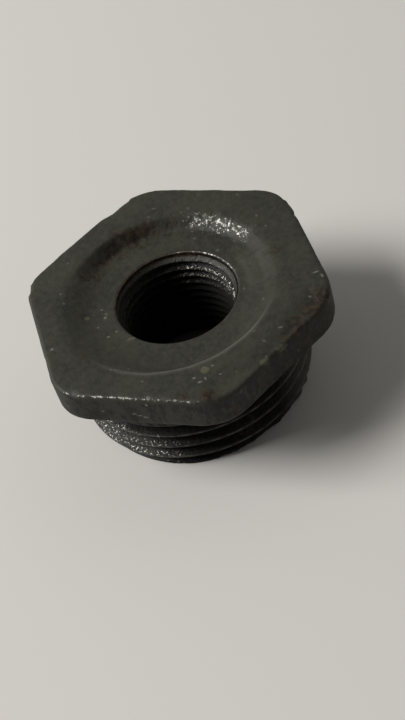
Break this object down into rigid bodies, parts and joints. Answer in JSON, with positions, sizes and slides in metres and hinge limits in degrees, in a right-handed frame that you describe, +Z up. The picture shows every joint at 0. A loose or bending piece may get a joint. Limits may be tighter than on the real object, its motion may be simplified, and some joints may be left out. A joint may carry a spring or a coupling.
{
  "type": "hex bushing",
  "caption": "Reducing hex bushing: a short pipe fitting with a spanner head, a taper male thread below it and a smaller female thread up the middle.",
  "frame": {"origin": "centre of the end face of the male thread, which the fitting stands on", "axes": "+Z up the common axis of both threads, from the male end to the head; the head's flats face +X and -X, its corners +Y and -Y"},
  "size_m": [0.038, 0.0418, 0.017],
  "materials": {
    "malleable_iron": "dark as-cast skin, matte on the head, brighter and oily on the cut threads, a little rust"
  },
  "bodies": {
    "root": {"hex_bushing": "malleable_iron"}
  },
  "joints": []
}
